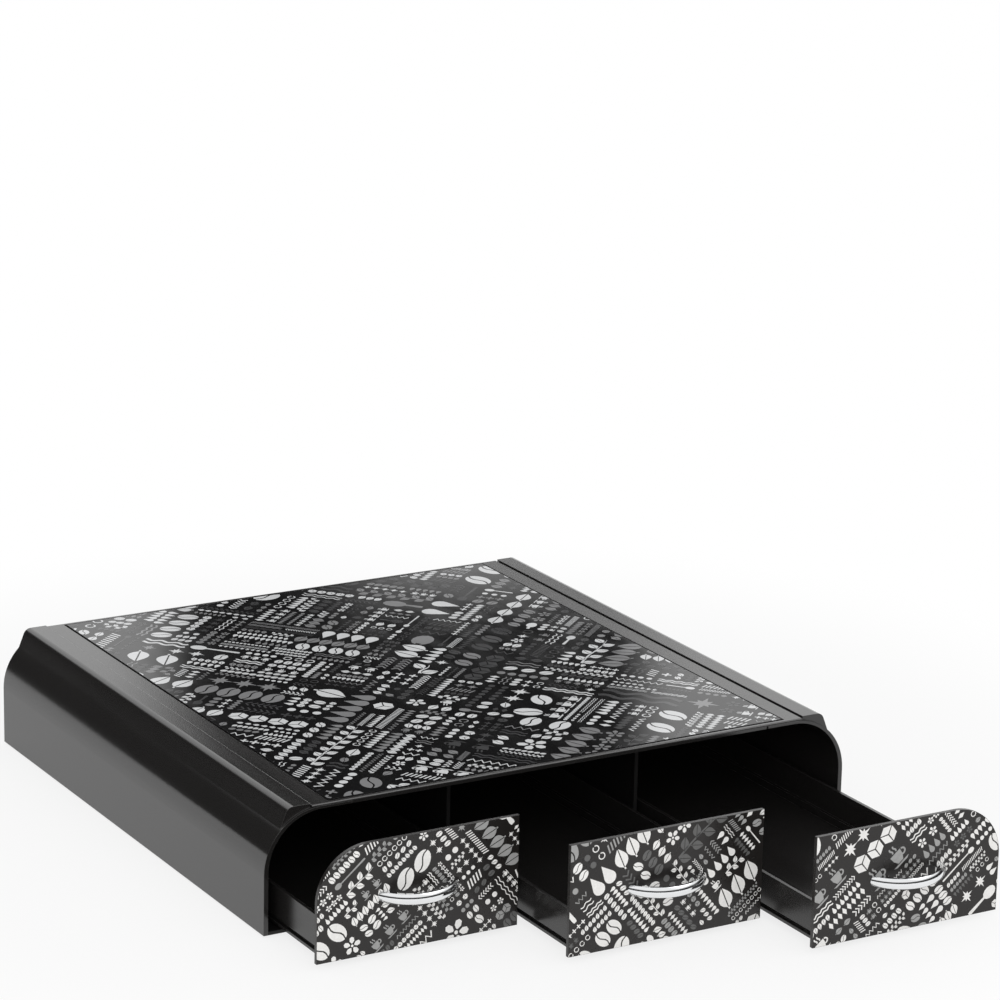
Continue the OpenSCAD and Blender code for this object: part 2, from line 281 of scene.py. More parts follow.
@dataclass(frozen=True)
class MouldedPlastic(Finish):
    """Injection-moulded plastic: fine grain, flow streaks along Y, and edges lightened partly where rubbed
    and partly as a painted highlight.
    """

    colour: Colour = (0.0128, 0.0121, 0.0117)
    # The edge colour and its greatest share: partly rubbing, partly a painted highlight along the edges.
    worn_and_highlight: Colour = (0.10, 0.098, 0.096)
    wear_and_highlight: float = 0.45
    gloss: Span = (0.11, 0.19)
    refraction: float = 1.6
    cloud_scale: float = 9.0
    cloud_gain: float = 1.35
    streak_scale: float = 24.0
    streak_stretch: Place = (1.0, 0.06, 1.0)
    streak_span: Span = (0.35, 0.65)
    edge_span: Span = (0.985, 0.80)
    rub_scale: float = 160.0
    rub_span: Span = (0.25, 0.6)
    least_rub: float = 0.2
    scuff: float = 0.15
    grain_scale: float = 1400.0
    grain_height: float = 0.015
    edge_radius: float = 0.4

    def write(self, pen: NodePen, shader: Node) -> None:
        """Writes the colour, the gloss and the surface's relief.

        Args:
            pen: the material's pen.
            shader: the material's shader.
        """
        streaks = pen.noise(self.streak_scale, self.streak_stretch, detail=5)
        clouds = pen.noise(self.cloud_scale, detail=4)
        edge = pen.soft_edge(self.edge_radius)
        flat = pen.add("NewGeometry").outputs["Normal"]
        facing = pen.add("VectorMath", {0: edge, 1: flat}, operation="DOT_PRODUCT").outputs["Value"]
        # Lightens the edges that the shading bevel finds: partly rubbing, partly a painted highlight in place
        # of light caught on small fillets.
        wear_and_highlight = pen.math("MULTIPLY", pen.ramp(facing, *self.edge_span, 0, self.wear_and_highlight),
                        pen.ramp(pen.noise(self.rub_scale), *self.rub_span, self.least_rub, 1))
        body = pen.blend(clouds, rgba(self.colour), rgba(self.colour, self.cloud_gain))
        gloss = pen.ramp(streaks, *self.streak_span, *self.gloss)
        grain = pen.noise(self.grain_scale, detail=2)
        pen.feed(shader, {
            "IOR": self.refraction,
            "Base Color": pen.blend(wear_and_highlight, body, rgba(self.worn_and_highlight)),
            "Roughness": pen.math("MULTIPLY_ADD", wear_and_highlight, self.scuff, gloss),
            "Normal": pen.relief(grain, self.grain_height, edge),
        })


@dataclass(frozen=True)
class PrintedFilm(Finish):
    """The dark ground of the printed films: smooth, with faint ripples and rubbed patches."""

    colour: Colour = (0.0055, 0.0054, 0.0057)
    gloss: Span = (0.04, 0.09)
    refraction: float = 1.32
    cloud_scale: float = 14.0
    cloud_gain: float = 1.5
    rub_scale: float = 60.0
    rub_stretch: Place = (1.0, 0.35, 1.0)
    rub_span: Span = (0.3, 0.7)
    ripple_scale: float = 45.0
    ripple_height: float = 0.006
    edge_radius: float = 0.2

    def write(self, pen: NodePen, shader: Node) -> None:
        """Writes the colour, the gloss and the ripples.

        Args:
            pen: the material's pen.
            shader: the material's shader.
        """
        clouds = pen.noise(self.cloud_scale, detail=5)
        rubbed = pen.noise(self.rub_scale, self.rub_stretch, detail=6, roughness=0.65)
        ripples = pen.noise(self.ripple_scale, detail=2)
        pen.feed(shader, {
            "IOR": self.refraction,
            "Base Color": pen.blend(clouds, rgba(self.colour), rgba(self.colour, self.cloud_gain)),
            "Roughness": pen.ramp(rubbed, *self.rub_span, *self.gloss),
            "Normal": pen.relief(ripples, self.ripple_height, pen.soft_edge(self.edge_radius)),
        })


@dataclass(frozen=True)
class PrintInk(Finish):
    """Ink under the printed films' gloss, slightly uneven in cover."""

    colour: Colour = (0.87, 0.86, 0.84)
    thin: float = 0.9
    under_gain: float = 0.2
    gloss: Span = (0.04, 0.09)
    gloss_span: Span = (0.3, 0.7)
    refraction: float = 1.32
    speckle_scale: float = 900.0
    speckle_span: Span = (0.3, 0.62)
    patch_scale: float = 55.0
    patch_span: Span = (0.35, 0.65)
    least_patch: float = 0.93

    def write(self, pen: NodePen, shader: Node) -> None:
        """Writes the colour's cover and the gloss.

        Args:
            pen: the material's pen.
            shader: the material's shader.
        """
        speckle = pen.noise(self.speckle_scale, detail=4, roughness=0.7)
        patches = pen.noise(self.patch_scale, detail=3)
        cover = pen.math("MULTIPLY", pen.ramp(speckle, *self.speckle_span, self.thin, 1.0),
                         pen.ramp(patches, *self.patch_span, self.least_patch, 1.0))
        pen.feed(shader, {
            "IOR": self.refraction,
            "Base Color": pen.blend(cover, rgba(self.colour, self.under_gain), rgba(self.colour)),
            "Roughness": pen.ramp(patches, *self.gloss_span, *self.gloss),
        })


@dataclass(frozen=True)
class BrightMetal(Finish):
    """Plated or bare metal with faint smudges."""

    colour: Colour = (0.86, 0.87, 0.88)
    gloss: Span = (0.04, 0.10)
    dull_gain: float = 0.93
    smudge_scale: float = 120.0
    smudge_span: Span = (0.4, 0.7)
    edge_radius: float = 0.3

    def write(self, pen: NodePen, shader: Node) -> None:
        """Writes the colour, the gloss and the softened edges.

        Args:
            pen: the material's pen.
            shader: the material's shader.
        """
        smudges = pen.noise(self.smudge_scale, detail=5, roughness=0.6)
        pen.feed(shader, {
            "Metallic": 1.0,
            "Base Color": pen.blend(smudges, rgba(self.colour), rgba(self.colour, self.dull_gain)),
            "Roughness": pen.ramp(smudges, *self.smudge_span, *self.gloss),
            "Normal": pen.soft_edge(self.edge_radius),
        })


@dataclass(frozen=True)
class SoftRubber(Finish):
    """Matte rubber with a fine pebbled skin and a little dust."""

    colour: Colour = (0.022, 0.022, 0.023)
    dust_level: float = 0.12
    dust_share: float = 0.35
    dust_scale: float = 180.0
    dust_span: Span = (0.45, 0.7)
    gloss: Span = (0.7, 0.9)
    gloss_span: Span = (0.3, 0.7)
    pebble_scale: float = 1500.0
    pebble_height: float = 0.06

    def write(self, pen: NodePen, shader: Node) -> None:
        """Writes the colour, the gloss and the pebbles.

        Args:
            pen: the material's pen.
            shader: the material's shader.
        """
        dust = pen.noise(self.dust_scale, detail=5)
        share = pen.ramp(dust, *self.dust_span, 0, self.dust_share)
        pebbles = pen.noise(self.pebble_scale, detail=2)
        pen.feed(shader, {
            "Base Color": pen.blend(share, rgba(self.colour), grey(self.dust_level)),
            "Roughness": pen.ramp(dust, *self.gloss_span, *self.gloss),
            "Normal": pen.relief(pebbles, self.pebble_height),
        })


SHELL = MouldedPlastic("satin_black_shell")
# DECK and INNER set less edge lightening, which is partly rubbing and partly a painted highlight.
DECK = MouldedPlastic("satin_black_deck", wear_and_highlight=0.2, edge_radius=0.15)
TRAY = MouldedPlastic("tray_black", gloss=(0.17, 0.27), refraction=1.5, edge_radius=0.25)
INNER = MouldedPlastic("matte_black_inner", colour=(0.008, 0.0076, 0.0076), wear_and_highlight=0.1, gloss=(0.42, 0.55),
                       refraction=1.36)
SHEET_FILM = PrintedFilm("sheet_film")
FRONT_FILM = PrintedFilm("front_film", colour=(0.0125, 0.0112, 0.0106), gloss=(0.22, 0.3), refraction=1.43)
# The sheet's inks are the front inks made darker and bluer: painted shade over the printed top.
SHEET_INKS_IN_PAINTED_SHADE = (PrintInk("sheet_white_ink", colour=(0.8, 0.81, 0.82)),
              PrintInk("sheet_grey_ink", colour=(0.27, 0.27, 0.275)),
              PrintInk("sheet_dim_ink", colour=(0.07, 0.07, 0.072)))
FRONT_INK = partial(PrintInk, gloss=(0.22, 0.3), refraction=1.43)
FRONT_INKS = (FRONT_INK("front_white_ink"),
              FRONT_INK("front_grey_ink", colour=(0.36, 0.36, 0.355)),
              FRONT_INK("front_dim_ink", colour=(0.12, 0.12, 0.118)))
CHROME = BrightMetal("handle_chrome")
SCREW_STEEL = BrightMetal("zinc_steel", colour=(0.56, 0.57, 0.58), gloss=(0.28, 0.42))
RUBBER = SoftRubber("foot_rubber")

HOUSING_FINISHES = {
    "left_side_cover": SHELL, "right_side_cover": SHELL, "back_panel": SHELL,
    "base_plate": INNER, "left_divider": INNER, "right_divider": INNER,
    "top_deck": DECK, "rubber_feet": RUBBER,
}
DRAWER_FINISHES = {"tray": TRAY, "front_plate": FRONT_FILM, "handle": CHROME}


def dress(obj: bpy.types.Object, finish: Finish) -> None:
    """Gives every part of an object one finish."""
    obj.data.materials.clear()
    obj.data.materials.append(finish.material())


# ---- Meshes ----


@dataclass
class MeshMaker:
    """Gathers points and faces, in metres, and makes one object of them."""

    points: list[Place] = field(default_factory=list)
    faces: list[tuple[int, ...]] = field(default_factory=list)
    slots: list[int] = field(default_factory=list)

    def ring(self, points: list[Place]) -> list[int]:
        """Adds points.

        Args:
            points: the new points.

        Returns:
            Their numbers.
        """
        first = len(self.points)
        self.points += points
        return list(range(first, len(self.points)))

    def face(self, corners: list[int], slot: int = 0) -> None:
        """Adds a face with a material slot."""
        self.faces.append(tuple(corners))
        self.slots.append(slot)

    def band(self, low: list[int], high: list[int], slot: int = 0) -> None:
        """Joins two closed rings of as many points each with four-sided faces.

        Args:
            low: the first ring's point numbers.
            high: the second ring's.
            slot: the faces' material slot.
        """
        for here, there in zip(range(len(low)), range(1, len(low) + 1)):
            there %= len(low)
            self.face([low[here], low[there], high[there], high[here]], slot)

    def make(self, name: str, *finishes: Finish, smooth_over: float | None = None) -> bpy.types.Object:
        """Makes the object.

        Args:
            name: the object's name.
            finishes: the finish of each material slot.
            smooth_over: faces that meet at less than this angle, in degrees, are shaded as one.

        Returns:
            The object, linked to the scene.
        """
        mesh = bpy.data.meshes.new(name)
        mesh.from_pydata(self.points, [], self.faces)
        mesh.polygons.foreach_set("material_index", self.slots)
        for finish in finishes:
            mesh.materials.append(finish.material())
        if smooth_over is not None:
            work = bmesh.new()
            work.from_mesh(mesh)
            bmesh.ops.recalc_face_normals(work, faces=work.faces)
            work.to_mesh(mesh)
            work.free()
            mesh.shade_smooth()
            mesh.set_sharp_from_angle(angle=math.radians(smooth_over))
        mesh.validate()
        obj = bpy.data.objects.new(name, mesh)
        bpy.context.scene.collection.objects.link(obj)
        return obj


# ---- Printed motifs ----


TAPER = 0.85  # The share of its width that a tapering stroke loses.


def ribbon(path: Outline, width: float, taper: bool = False) -> Outline:
    """Widens a path into a stroke.

    Args:
        path: the stroke's middle line.
        width: the stroke's width.
        taper: whether the stroke thins towards its end.

    Returns:
        The stroke's outline.
    """
    left, right = [], []
    last = len(path) - 1
    for i, (x, y) in enumerate(path):
        ahead, behind = path[min(i + 1, last)], path[max(i - 1, 0)]
        dx, dy = ahead[0] - behind[0], ahead[1] - behind[1]
        length = math.hypot(dx, dy) or 1.0
        half = width / 2 * (1 - TAPER * i / last if taper else 1)
        left.append((x - dy / length * half, y + dx / length * half))
        right.append((x + dy / length * half, y - dx / length * half))
    return left + right[::-1]


def arc(radius_x: float, radius_y: float, start: float, end: float, steps: int,
        centre: Point = (0.0, 0.0)) -> Outline:
    """Points along an elliptical arc.

    Args:
        radius_x: the radius along X.
        radius_y: the radius along Y.
        start: the first angle, in degrees.
        end: the last angle, in degrees.
        steps: the number of steps between them.
        centre: the ellipse's middle.

    Returns:
        The points, the last one included.
    """
    angles = [math.radians(start + (end - start) * i / steps) for i in range(steps + 1)]
    return [(centre[0] + radius_x * math.cos(a), centre[1] + radius_y * math.sin(a)) for a in angles]


def turned(shapes: Shapes, degrees: float, scale: float = 1.0, shift: Point = (0.0, 0.0)) -> Shapes:
    """Turns, scales and then shifts shapes.

    Args:
        shapes: the outlines to move.
        degrees: the turn, anticlockwise.
        scale: the factor on their size.
        shift: the move after that.

    Returns:
        The moved outlines.
    """
    c, s = math.cos(math.radians(degrees)) * scale, math.sin(math.radians(degrees)) * scale
    return [[(shift[0] + x * c - y * s, shift[1] + x * s + y * c) for x, y in outline] for outline in shapes]


def bean(lean: float = 28) -> Shapes:
    """A coffee bean: two halves with a curved cleft between them.

    Args:
        lean: how far its long axis leans from level, in degrees.

    Returns:
        The outlines.
    """
    cleft = [(0.47 - 0.94 * i / 6, 0.075 * math.sin(math.tau * i / 6)) for i in range(7)]
    upper = arc(0.5, 0.36, 8, 172, 9) + [(x, y + 0.032) for x, y in cleft[::-1]]
    lower = arc(0.5, 0.36, 188, 352, 9) + [(x, y - 0.032) for x, y in cleft]
    return turned([upper, lower], lean)


def leaf(lean: float = 0) -> Shapes:
    """A pointed leaf: two halves with a midrib between them.

    Args:
        lean: how far its midrib leans from level, in degrees.

    Returns:
        The outlines.
    """
    edge = [(-0.42 + 0.92 * i / 7, 0.3 * math.sin(math.pi * (i / 7) ** 0.8)) for i in range(8)]
    upper = [(x, y + 0.024) for x, y in edge]
    lower = [(x, -y - 0.024) for x, y in edge]
    stalk = ribbon([(-0.42, 0.0), (-0.52, -0.03)], 0.07)
    return turned([upper, lower, stalk], lean)


def cup() -> Shapes:
    """A cup on its saucer with two wisps of steam.

    Returns:
        The outlines.
    """
    body = [(-0.36, 0.14), (-0.33, -0.12), (-0.22, -0.33), (0.06, -0.33), (0.17, -0.12), (0.2, 0.14)]
    handle = ribbon(arc(0.15, 0.13, 80, -110, 7, (0.21, -0.02)), 0.075)
    saucer = [(-0.5, -0.37), (-0.36, -0.45), (0.22, -0.45), (0.36, -0.37)]
    wisps = [ribbon([(x + 0.035 * math.sin(math.tau * i / 6), 0.2 + 0.045 * i) for i in range(7)], 0.07)
             for x in (-0.17, 0.01)]
    return [body, handle, saucer, *wisps]


def blossom() -> Shapes:
    """A blossom of five petals around a dot.

    Returns:
        The outlines.
    """
    petal = [(0.13, -0.03), (0.26, -0.13), (0.42, -0.12), (0.49, 0.0),
             (0.42, 0.12), (0.26, 0.13), (0.13, 0.03)]
    petals = [shape for i in range(5) for shape in turned([petal], 90 + 72 * i)]
    return [*petals, arc(0.075, 0.075, 0, 315, 7)]


def sugar_cube() -> Shapes:
    """A cube seen from a corner: three lozenges."""
    lozenge = [(0.0, 0.035), (0.36, 0.235), (0.0, 0.435), (-0.36, 0.235)]
    return [shape for i in range(3) for shape in turned([lozenge], 120 * i)]


def drop() -> Shapes:
    """A drop."""
    return [[(0.0, 0.5), *arc(0.29, 0.29, 155, 385, 9, (0.0, -0.2))]]


def spark() -> Shapes:
    """A star of four long points and four short ones."""
    radii = (0.5, 0.19, 0.33, 0.19)
    return [[(radii[i % 4] * math.cos(math.tau * i / 16), radii[i % 4] * math.sin(math.tau * i / 16))
             for i in range(16)]]


def dot() -> Shapes:
    """A round dot."""
    return [arc(0.3, 0.3, 0, 330, 11)]


def lozenge() -> Shapes:
    """An upright lozenge."""
    return [[(0.27, 0.0), (0.0, 0.48), (-0.27, 0.0), (0.0, -0.48)]]


def cherry_twig(length: float) -> Shapes:
    """A twig with leaves on either side.

    Args:
        length: its length for a height of 1.

    Returns:
        The outlines.
    """
    half = length / 2
    stem = [(-half + length * i / 10, 0.05 * math.sin(math.tau * i / 10)) for i in range(11)]
    shapes = [ribbon(stem, 0.1, taper=True)]
    count = max(2, round(length / 0.38))
    for i in range(count):
        x = -half + length * (i + 0.5) / count
        shapes += turned(leaf(), 48 if i % 2 else -48, 0.6, (x, 0.25 if i % 2 else -0.25))
    return shapes


def spoon(length: float) -> Shapes:
    """A coffee spoon.

    Args:
        length: its length for a height of 1.

    Returns:
        The outline.
    """
    half = length / 2
    bowl = arc(0.5, 0.36, 168, -168, 12, (half - 0.5, 0.0))
    return [[*bowl, (-half + 0.12, -0.12), (-half, -0.09), (-half, 0.09), (-half + 0.12, 0.12)]]


def ripples(length: float, width: float = 0.19) -> Shapes:
    """Two wavy lines.

    Args:
        length: their length for a height of 1.
        width: the strokes' width.

    Returns:
        The outlines.
    """
    steps = max(8, round(length * 7))
    shapes = []
    for y in (0.24, -0.24):
        path = [(-length / 2 + length * i / steps, y + 0.1 * math.sin(math.tau * i / 7))
                for i in range(steps + 1)]
        shapes.append(ribbon(path, width))
    return shapes


def zigzag(length: float) -> Shapes:
    """A thin zigzag line.

    Args:
        length: its length for a height of 1.

    Returns:
        The outline.
    """
    count = max(2, round(length / 0.34))
    path = [(-length / 2 + length * i / count, 0.26 if i % 2 else -0.26) for i in range(count + 1)]
    return [ribbon(path, 0.16)]


def ring() -> Shapes:
    """A thin ring with a narrow gap."""
    return [arc(0.42, 0.42, 20, 380, 12)[:-1] + arc(0.3, 0.3, 350, 20, 11)]


def cross() -> Shapes:
    """A thin plus sign."""
    arm = [(0.09, 0.09), (0.09, 0.38), (-0.09, 0.38)]
    return [[point for i in range(4) for point in turned([arm], 90 * i)[0]]]


def bar() -> Shapes:
    """A short slanted bar."""
    return [[(-0.22, -0.4), (-0.06, -0.4), (0.22, 0.4), (0.06, 0.4)]]


def chevron() -> Shapes:
    """An arrowhead that points along its row."""
    return [ribbon([(-0.16, 0.36), (0.16, 0.0), (-0.16, -0.36)], 0.15)]


def row(motif: Callable[[], Shapes], pitch: float) -> Callable[[float], Shapes]:
    """Makes a motif that repeats another in a row.

    Args:
        motif: what is repeated.
        pitch: the distance between two of them, for a height of 1.

    Returns:
        A function of the row's length for a height of 1.
    """
    def build(length: float) -> Shapes:
        """Builds the row.

        Args:
            length: the row's length for a height of 1.

        Returns:
            The outlines.
        """
        count = max(1, int(length / pitch))
        first = -(count - 1) * length / count / 2
        return [shape for i in range(count)
                for shape in turned(motif(), 0, 1, (first + i * length / count, 0.0))]
    return build


BOLD_MOTIFS = (row(partial(bean, 78), 0.8), row(leaf, 1.06), row(cup, 0.98), row(partial(bean, 60), 0.86),
               cherry_twig, row(partial(leaf, 74), 0.68), row(sugar_cube, 0.84), row(bean, 0.98), spoon,
               row(blossom, 1.0), row(drop, 0.66), row(partial(bean, 102), 0.8),
               row(partial(leaf, 106), 0.68), ripples, cherry_twig, row(spark, 0.9))
FINE_MOTIFS = (row(bar, 0.36), zigzag, row(ring, 1.0), partial(ripples, width=0.12), row(cross, 0.86),
               row(chevron, 0.42), row(lozenge, 0.62), row(dot, 0.74), row(partial(leaf, 60), 0.74),
               row(drop, 0.66))


def clipped(outline: Outline, frame: Outline) -> Outline:
    """Cuts an outline off at a convex frame.

    Args:
        outline: the outline to cut.
        frame: the frame's corners, anticlockwise.

    Returns:
        What is left inside the frame, which may be empty.
    """
    for (ax, ay), (bx, by) in zip(frame, frame[1:] + frame[:1]):
        def inside(p: Point) -> float:
            """How far a point lies to the left of the frame's edge."""
            return (bx - ax) * (p[1] - ay) - (by - ay) * (p[0] - ax)
        kept: Outline = []
        for here, there in zip(outline, outline[1:] + outline[:1]):
            d0, d1 = inside(here), inside(there)
            if d0 >= 0:
                kept.append(here)
            if (d0 >= 0) != (d1 >= 0):
                t = d0 / (d0 - d1)
                kept.append((here[0] + t * (there[0] - here[0]), here[1] + t * (there[1] - here[1])))
        outline = kept
        if len(outline) < 3:
            return []
    return outline


def thinned(outline: Outline, slack: float) -> Outline:
    """Drops points that hardly shape an outline, at most every other one.

    Args:
        outline: the outline to thin.
        slack: how far a dropped point may lie from the line between its neighbours.

    Returns:
        The thinned outline.
    """
    kept = list(outline)
    i = 0
    while i < len(kept) and len(kept) > 4:
        (x0, y0), (x, y), (x1, y1) = kept[i - 1], kept[i], kept[(i + 1) % len(kept)]
        span = math.hypot(x1 - x0, y1 - y0) or 1.0
        if abs((x - x0) * (y1 - y0) - (y - y0) * (x1 - x0)) / span < slack:
            kept.pop(i)
        i += 1
    return kept


def area(outline: Outline) -> float:
    """An outline's signed area, positive when it runs anticlockwise."""
    return sum(x0 * y1 - x1 * y0 for (x0, y0), (x1, y1) in zip(outline, outline[1:] + outline[:1])) / 2


@dataclass
class MotifPrint:
    """A field of printed motifs in slanting rows of many sizes, cut off at its edge."""

    edge: Outline
    seed: int
    inks: tuple[PrintInk, ...]
    scale: float = 1.0
    block: float = 62.0
    band: Span = (8.5, 13.5)
    stretch: Span = (15.0, 38.0)
    column: Span = (3.8, 6.5)
    run: Span = (10.0, 24.0)
    rows: tuple[int, ...] = (1, 1, 2, 2, 3, 0)
    across_share: float = 0.25
    row_gap: float = 0.9
    run_gap: float = 1.8
    bold_height: float = 6.0
    tilt: float = 40.0
    ink_shares: tuple[float, ...] = (0.8, 0.15, 0.05)
    film: float = 0.03
    sunk: float = 0.02
    slack: float = 0.07
    least_area: float = 0.12
    cut_share: Span = (0.4, 0.6)
    block_play: Span = (0.8, 1.3)
    fine_share: float = 0.45
    flip_share: float = 0.15

    def blocks(self, rng: random.Random) -> Iterator[tuple[float, float, float, float]]:
        """Cuts the field's square into blocks of rows.

        Args:
            rng: where the random draws come from.

        Yields:
            Each block's low corner, width and height.
        """
        reach = max(math.hypot(x, y) for x, y in self.edge) / self.scale
        waiting = [(-reach, -reach, 2 * reach, 2 * reach)]
        while waiting:
            x, y, w, h = waiting.pop()
            share = rng.uniform(*self.cut_share)
            if max(w, h) < self.block * rng.uniform(*self.block_play):
                yield x, y, w, h
            elif w >= h:
                waiting += [(x, y, w * share, h), (x + w * share, y, w * (1 - share), h)]
            else:
                waiting += [(x, y, w, h * share), (x, y + h * share, w, h * (1 - share))]

    @staticmethod
    def spans(rng: random.Random, total: float, size: Span) -> Iterator[tuple[float, float]]:
        """Divides a length into spans.

        Args:
            rng: where the random draws come from.
            total: the length.
            size: the least and the greatest rough size of a span.

        Yields:
            The middle and the size of each span.
        """
        sizes = [rng.uniform(*size)]
        while sum(sizes) + size[0] < total:
            sizes.append(rng.uniform(*size))
        start, scale = 0.0, total / sum(sizes)
        for each in sizes:
            yield start + each * scale / 2, each * scale
            start += each * scale

    def runs(self, rng: random.Random, length: float, band: float
             ) -> Iterator[tuple[float, float, float, float, bool]]:
        """Fills a stretch of a band with runs of motifs.

        Args:
            rng: where the random draws come from.
            length: the stretch's length.
            band: the band's height.

        Yields:
            Each run's middle from the stretch's own, length and height, and whether it stands upright.
        """
        rows = rng.choice(self.rows)
        if rows == 0:
            for middle, width in self.spans(rng, length, self.column):
                yield middle - length / 2, 0.0, band, width, True
        elif rows == 1:
            yield 0.0, 0.0, length, band, False
        else:
            for i in range(rows):
                for middle, part in self.spans(rng, length, self.run):
                    yield middle - length / 2, band * ((i + 0.5) / rows - 0.5), part, band / rows, False

    def cells(self, rng: random.Random) -> Iterator[tuple[float, float, float, float, int]]:
        """Fills the blocks with bands and the bands with runs of motifs.

        Args:
            rng: where the random draws come from.

        Yields:
            Each run's middle, length and height, and its turn in degrees.
        """
        for x, y, w, h in self.blocks(rng):
            across = rng.random() < self.across_share
            for side, band in self.spans(rng, w if across else h, self.band):
                for along, length in self.spans(rng, h if across else w, self.stretch):
                    for u, v, run, height, upright in self.runs(rng, length, band):
                        place = (x + side - v, y + along + u) if across else (x + along + u, y + side + v)
                        yield *place, run - self.run_gap, height - self.row_gap, 90 * (across + upright)

    def outlines(self) -> Iterator[tuple[Outline, int]]:
        """Draws the motifs.

        Yields:
            Each outline, cut off at the edge, with its ink's number.
        """
        rng = random.Random(self.seed)
        for x, y, length, height, turn in self.cells(rng):
            fine = height < self.bold_height and rng.random() < self.fine_share
            shapes = rng.choice(FINE_MOTIFS if fine else BOLD_MOTIFS)(length / height)
            ink = rng.choices(range(len(self.inks)), self.ink_shares)[0]
            turn += 180 * (rng.random() < self.flip_share)
            middle = turned([[(x, y)]], self.tilt, self.scale)[0][0]
            for outline in turned(shapes, self.tilt + turn, height * self.scale, middle):
                kept = clipped(thinned(outline, self.slack), self.edge)
                if len(kept) > 2 and abs(area(kept)) > self.least_area:
                    yield (kept if area(kept) > 0 else kept[::-1]), ink

    def build(self, name: str, place: Callable[[float, float, float], Place]) -> bpy.types.Object:
        """Makes the print as a thin raised film.

        Args:
            name: the object's name.
            place: gives a point in metres for the field's two coordinates and a lift, in millimetres.

        Returns:
            The print.
        """
        maker = MeshMaker()
        for outline, ink in self.outlines():
            low = maker.ring([place(u, v, -self.sunk) for u, v in outline])
            high = maker.ring([place(u, v, self.film) for u, v in outline])
            maker.band(low, high, ink)
            maker.face(high, ink)
            maker.face(low[::-1], ink)
        return maker.make(name, *self.inks)


# ---- Screws ----


class Facing(Enum):
    """The ways a screw's head faces, each with the axis its shank runs along."""

    DOWN = (0, 0, 1)
    BACK = (0, -1, 0)


@dataclass
class CrossHeadScrews:
    """Screws with a cross recess, all alike and facing one way."""

    name: str
    node: str
    body: str
    facing: Facing
    heads: list[Place]
    length: float
    sunk: bool = True
    head_r: float = 2.5
    head_h: float = 1.2
    shank_r: float = 1.25
    thread_pitch: float = 1.1
    thread_h: float = 0.22
    recess_r: float = 1.4
    recess_w: float = 0.6
    recess_d: float = 0.75
    recess_end: float = 0.6
    dome: tuple[Point, ...] = ((0.74, 0.0), (0.9, 0.18), (0.98, 0.5), (1.0, 0.85), (0.97, 1.0))
    run_in: float = 0.6
    root: Span = (0.3, 0.7)
    tip_share: float = 0.3
    segments: int = 32
    smooth_over: float = 35.0

    def profile(self) -> list[Point]:
        """The screw's outline from its driven face to its tip.

        Returns:
            Its corners, as radius and depth.
        """
        r, h = self.head_r, self.head_h
        rim = [(r, 0.0)] if self.sunk else [(x * r, depth * h) for x, depth in self.dome]
        tip = self.length - self.shank_r
        turns = int((tip - h - self.run_in) / self.thread_pitch)
        steps = ((0.0, 0.0), *((self.thread_h, share) for share in self.root))
        thread = [(self.shank_r - drop, h + self.run_in + (i + share) * self.thread_pitch)
                  for i in range(turns) for drop, share in steps]
        return [*rim, (self.shank_r, h), *thread, (self.shank_r, tip),
                (self.tip_share * self.shank_r, self.length)]

    def one(self, maker: MeshMaker, head: Vector) -> None:
        """Adds one screw.

        Args:
            maker: what gathers the mesh.
            head: the middle of its driven face.
        """
        axis = Vector(self.facing.value)
        right = Vector((1.0, 0.0, 0.0))
        up = axis.cross(right)

        def place(x: float, y: float, depth: float) -> Place:
            """Gives a point of the screw in the model, in metres."""
            return tuple((head + right * x + up * y + axis * depth) * MM)

        rings = [maker.ring([place(x, y, depth) for x, y in arc(r, r, 0, 360, self.segments)[:-1]])
                 for r, depth in self.profile()]
        half, reach = self.recess_w / 2, self.recess_r
        corner = [(reach, 0.0), (reach, half), (half, half), (half, reach)]
        cross = [point for k in range(4) for point in turned([corner], 90 * k)[0]]
        mouth = maker.ring([place(x, y, 0.0) for x, y in cross])
        deep = maker.ring([place(x * self.recess_end, y * self.recess_end, self.recess_d) for x, y in cross])
        quarter = self.segments // 4
        for k in range(4):
            outer = [rings[0][(k * quarter + i) % self.segments] for i in range(quarter + 1)]
            inner = [mouth[(len(corner) * k + i) % len(mouth)] for i in range(len(corner), -1, -1)]
            maker.face(outer + inner)
        maker.band(mouth, deep)
        maker.face(deep)
        for near, far in zip(rings, rings[1:]):
            maker.band(near, far)
        maker.face(rings[-1])

    def build(self) -> bpy.types.Object:
        """Makes the screws and puts them in the node's place.

        Returns:
            The screws, as one object.
        """
        maker = MeshMaker()
        for head in self.heads:
            self.one(maker, Vector(head))
        piece = maker.make(self.name, SCREW_STEEL, smooth_over=self.smooth_over)
        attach(piece, self.body)
        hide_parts(self.node)
        LOG.info("%s: %d screws", self.name, len(self.heads))
        return piece


# ---- Sub-assemblies ----


def centre_of(low: Vector, high: Vector) -> Vector:
    """The middle of a box."""
    return (low + high) / 2


@dataclass
class Housing:
    """The arched housing with its deck, base, back, dividers, screws and feet."""

    body: str = "housing"
    base_screw_rows: tuple[float, ...] = (-76.4, 32.65, 141.7)
    base_screw_length: float = 9.8
    back_screws: tuple[Point, ...] = ((164.4, 30.0), (139.0, 58.2), (55.717, 30.0))
    back_screw_length: float = 10.2
    divider_x: float = 55.717

    def build(self, nodes: dict[str, bpy.types.Object]) -> None:
        """Dresses the housing's nodes.

        Args:
            nodes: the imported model's objects by name.
        """
        for name, finish in HOUSING_FINISHES.items():
            dress(nodes[name], finish)
        LOG.info("housing dressed")
        under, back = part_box("base_screws")[0].z / MM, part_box("back_screws")[1].y / MM
        heads = [(side * self.divider_x, y, under) for side in (-1, 1) for y in self.base_screw_rows]
        CrossHeadScrews("base_cross_screws", "base_screws", self.body, Facing.DOWN, heads,
                        self.base_screw_length).build()
        heads = [(side * x, back, z) for side in (-1, 1) for x, z in self.back_screws]
        CrossHeadScrews("back_cross_screws", "back_screws", self.body, Facing.BACK, heads,
                        self.back_screw_length).build()


